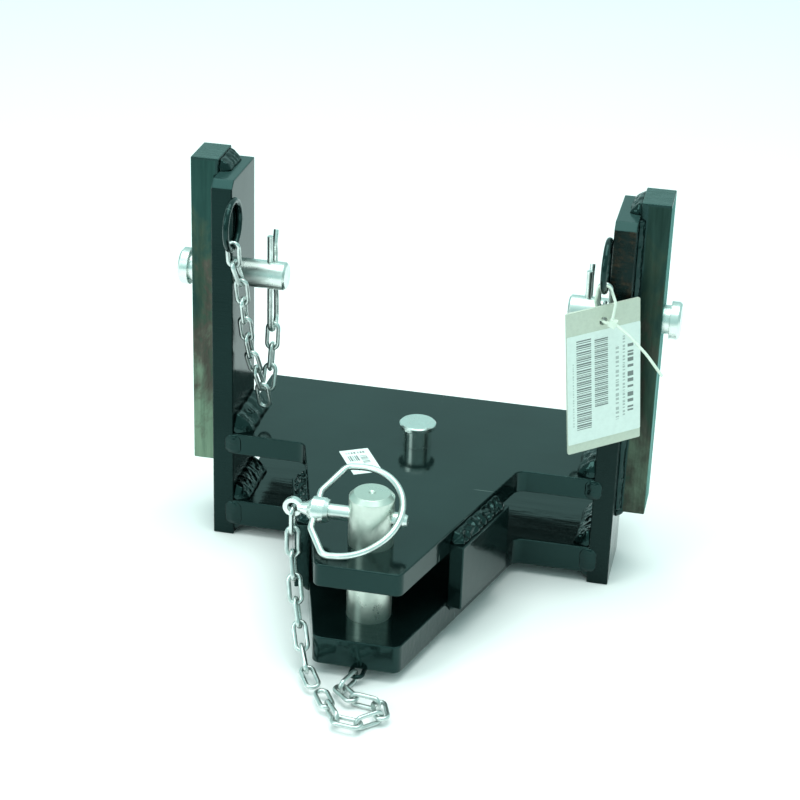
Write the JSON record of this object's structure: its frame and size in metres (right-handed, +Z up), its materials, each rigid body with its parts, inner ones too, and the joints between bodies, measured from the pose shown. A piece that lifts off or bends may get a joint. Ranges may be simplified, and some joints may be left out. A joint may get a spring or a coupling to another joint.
{
  "type": "drawbar clevis carriage",
  "caption": "Welded two-plate drawbar jaw on upright cheeks with slide rails, a lifting drawbar pin with a linch pin, cross locking pins with R-clips, and retaining chains.",
  "frame": {"origin": "where the drawbar pin's axis crosses the middle of the jaw", "axes": "+X is the part's right seen from the jaw's open end, the jaw opens towards -Y, +Z is up along the drawbar pin"},
  "size_m": [0.354, 0.3319, 0.281],
  "materials": {
    "black_paint": "gloss",
    "painted_weld": "gloss, rough bead",
    "bare_steel": "ground, slightly tarnished",
    "plated_pin": "turned and zinc plated",
    "bright_zinc": "bright zinc",
    "chain_zinc": "bright zinc, slightly dulled",
    "sticker": "matt paper, blank",
    "tie_plastic": "natural nylon",
    "tag_card": "matt card",
    "tag_print": "matt, blank field"
  },
  "bodies": {
    "carriage": {"top_plate": "black_paint", "bottom_plate": "black_paint", "left_cheek": "black_paint", "right_cheek": "black_paint", "left_rail": "bare_steel", "right_rail": "bare_steel", "left_web": "black_paint", "right_web": "black_paint", "left_plate_welds": "painted_weld", "right_plate_welds": "painted_weld", "left_rail_welds": "painted_weld", "right_rail_welds": "painted_weld", "left_web_welds": "painted_weld", "right_web_welds": "painted_weld", "left_chain_ring": "black_paint", "right_chain_ring": "black_paint", "left_ring_weld": "painted_weld", "right_ring_weld": "painted_weld", "chain_anchor_link": "black_paint", "plate_sticker": "sticker"},
    "drawbar_pin": {"drawbar_pin": "plated_pin"},
    "linch_pin": {"linch_pin": "bright_zinc"},
    "linch_ring": {"linch_ring": "bright_zinc"},
    "linch_chain_hanging": {"linch_chain_hanging": "chain_zinc"},
    "linch_chain_lying": {"linch_chain_lying": "chain_zinc"},
    "rear_pin": {"rear_pin": "plated_pin"},
    "left_lock_pin": {"left_lock_pin": "plated_pin"},
    "left_r_clip": {"left_r_clip": "bright_zinc"},
    "left_ring_chain": {"left_ring_chain": "chain_zinc"},
    "left_clip_chain": {"left_clip_chain": "chain_zinc"},
    "right_lock_pin": {"right_lock_pin": "plated_pin"},
    "right_r_clip": {"right_r_clip": "bright_zinc"},
    "right_ring_chain": {"right_ring_chain": "chain_zinc"},
    "right_clip_chain": {"right_clip_chain": "chain_zinc"},
    "hanging_tag": {"cable_tie": "tie_plastic", "tag_card": "tag_card", "tag_label": "tag_print"}
  },
  "joints": [
    {"name": "drawbar_pin_lift", "type": "slide", "parent": "carriage", "child": "drawbar_pin", "axis": [0, 0, 1], "range_m": [0, 0.12]},
    {"name": "linch_pin_shuffle", "type": "slide", "parent": "drawbar_pin", "child": "linch_pin", "axis": [-1, 0, 0], "range_m": [0, 0.002]},
    {"name": "linch_ring_flip", "type": "hinge", "parent": "linch_pin", "child": "linch_ring", "pos_m": [-0.037, 0, 0.0535], "axis": [0, -0.8988, -0.4384], "range_deg": [0, 165]},
    {"name": "linch_chain_swing", "type": "hinge", "parent": "linch_pin", "child": "linch_chain_hanging", "pos_m": [-0.0525, 0, 0.0522], "axis": [0, 1, 0], "range_deg": [0, 20]},
    {"name": "linch_chain_trail", "type": "hinge", "parent": "carriage", "child": "linch_chain_lying", "pos_m": [0.002, -0.0422, -0.0405], "axis": [0, 0, 1], "range_deg": [0, 15]},
    {"name": "rear_pin_lift", "type": "slide", "parent": "carriage", "child": "rear_pin", "axis": [0, 0, 1], "range_m": [0, 0.09]},
    {"name": "tag_swing", "type": "hinge", "parent": "carriage", "child": "hanging_tag", "pos_m": [0.1278, 0.1135, 0.181], "axis": [0, 0.9545, -0.2982], "range_deg": [-25, 0]},
    {"name": "left_lock_pin_pull", "type": "slide", "parent": "carriage", "child": "left_lock_pin", "axis": [-1, 0, 0], "range_m": [-0.0045, 0.006]},
    {"name": "left_r_clip_pull", "type": "slide", "parent": "left_lock_pin", "child": "left_r_clip", "axis": [0, 0, -1], "range_m": [0, 0.045]},
    {"name": "left_clip_chain_fold", "type": "hinge", "parent": "left_r_clip", "child": "left_clip_chain", "pos_m": [-0.1125, 0.168, 0.1105], "axis": [1, 0, 0], "range_deg": [-2, 75]},
    {"name": "left_ring_chain_swing", "type": "hinge", "parent": "carriage", "child": "left_ring_chain", "pos_m": [-0.1278, 0.1185, 0.197], "axis": [1, 0, 0], "range_deg": [-22, 0]},
    {"name": "right_lock_pin_pull", "type": "slide", "parent": "carriage", "child": "right_lock_pin", "axis": [1, 0, 0], "range_m": [-0.0045, 0.006]},
    {"name": "right_r_clip_pull", "type": "slide", "parent": "right_lock_pin", "child": "right_r_clip", "axis": [0, 0, -1], "range_m": [0, 0.045]},
    {"name": "right_clip_chain_fold", "type": "hinge", "parent": "right_r_clip", "child": "right_clip_chain", "pos_m": [0.1125, 0.168, 0.1105], "axis": [1, 0, 0], "range_deg": [-2, 75]},
    {"name": "right_ring_chain_swing", "type": "hinge", "parent": "carriage", "child": "right_ring_chain", "pos_m": [0.1278, 0.1185, 0.197], "axis": [1, 0, 0], "range_deg": [-6, 0]}
  ],
  "couplings": [
    {"joint": "left_clip_chain_fold", "follows": "left_r_clip_pull", "rad_per_m": 28},
    {"joint": "right_clip_chain_fold", "follows": "right_r_clip_pull", "rad_per_m": 28}
  ]
}
